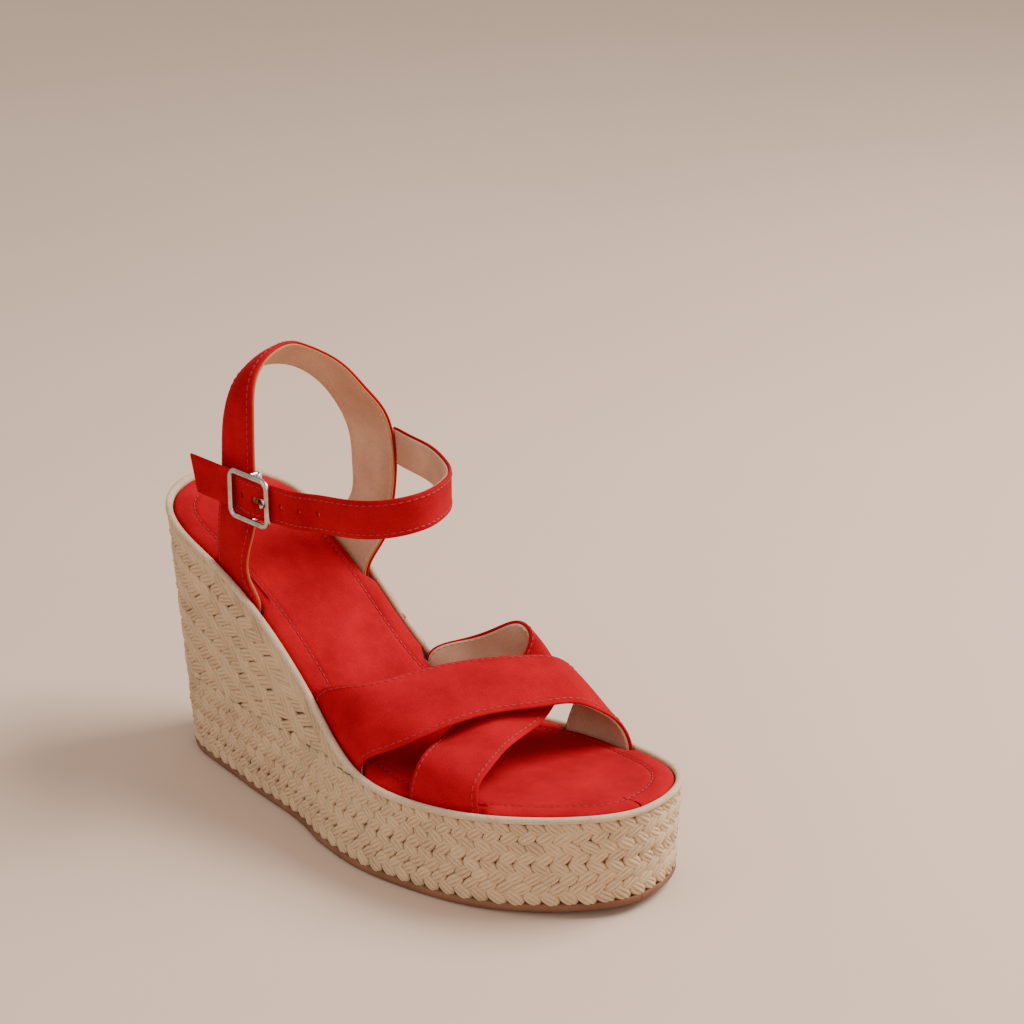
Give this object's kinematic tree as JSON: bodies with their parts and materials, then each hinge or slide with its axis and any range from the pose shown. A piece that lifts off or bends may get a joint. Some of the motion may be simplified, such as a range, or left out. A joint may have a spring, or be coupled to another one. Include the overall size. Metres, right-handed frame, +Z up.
{
  "type": "wedge sandal",
  "caption": "Right wedge sandal with braided jute platform, crossed vamp straps, heel sling and a buckled ankle strap.",
  "frame": {"origin": "bottom centre of the whole sandal's box, on the floor", "axes": "+X from heel to toe, +Y to the wearer's left (inner side of the right foot), +Z up"},
  "size_m": [0.2316, 0.0954, 0.1695],
  "materials": {
    "red_suede": "matte suede",
    "beige_lining": "soft satin",
    "jute": "matte braided",
    "outsole_rubber": "matte",
    "cork": "matte",
    "board": "matte fibre",
    "spring_steel": "brushed",
    "foam": "matte foam",
    "white_elastic": "ribbed",
    "nickel": "polished"
  },
  "bodies": {
    "sandal": {"outsole": "outsole_rubber", "wedge_core": "cork", "insole_board": "board", "shank": "spring_steel", "footbed_foam": "foam", "footbed_cover": "red_suede", "jute_rim": "jute", "jute_course_1": "jute", "jute_course_2": "jute", "jute_course_3": "jute", "jute_course_4": "jute", "jute_fan_1": "jute", "jute_fan_2": "jute", "jute_fan_3": "jute", "jute_fan_4": "jute", "jute_fan_5": "jute", "jute_fan_6": "jute", "vamp_over_strap": "red_suede", "vamp_over_lining": "beige_lining", "vamp_under_strap": "red_suede", "vamp_under_lining": "beige_lining", "heel_sling": "red_suede", "heel_sling_lining": "beige_lining", "elastic_gore": "white_elastic"},
    "ankle_strap": {"ankle_strap": "red_suede", "ankle_strap_lining": "beige_lining"},
    "strap_tail": {"strap_tail": "red_suede", "strap_tail_lining": "beige_lining"},
    "buckle": {"buckle_frame": "nickel"},
    "prong": {"buckle_prong": "nickel"}
  },
  "joints": [
    {"name": "ankle_strap_stretch", "type": "hinge", "parent": "sandal", "child": "ankle_strap", "pos_m": [-0.03625, 0.02627, 0.1236], "axis": [0, 0, 1], "range_deg": [0, 6], "stiffness_Nm_per_rad": 0.05, "deforming": ["elastic_gore"]},
    {"name": "strap_tail_flex", "type": "hinge", "parent": "ankle_strap", "child": "strap_tail", "pos_m": [-0.04895, -0.0417, 0.1215], "axis": [0, 0, 1], "range_deg": [0, 40], "stiffness_Nm_per_rad": 0.004},
    {"name": "buckle_swivel", "type": "hinge", "parent": "ankle_strap", "child": "buckle", "pos_m": [-0.03625, -0.03905, 0.1215], "axis": [0, 0, 1], "range_deg": [-1, 1]},
    {"name": "prong_pivot", "type": "hinge", "parent": "buckle", "child": "prong", "pos_m": [-0.03625, -0.03905, 0.1215], "axis": [0, 0, -1], "range_deg": [0, 6]}
  ]
}
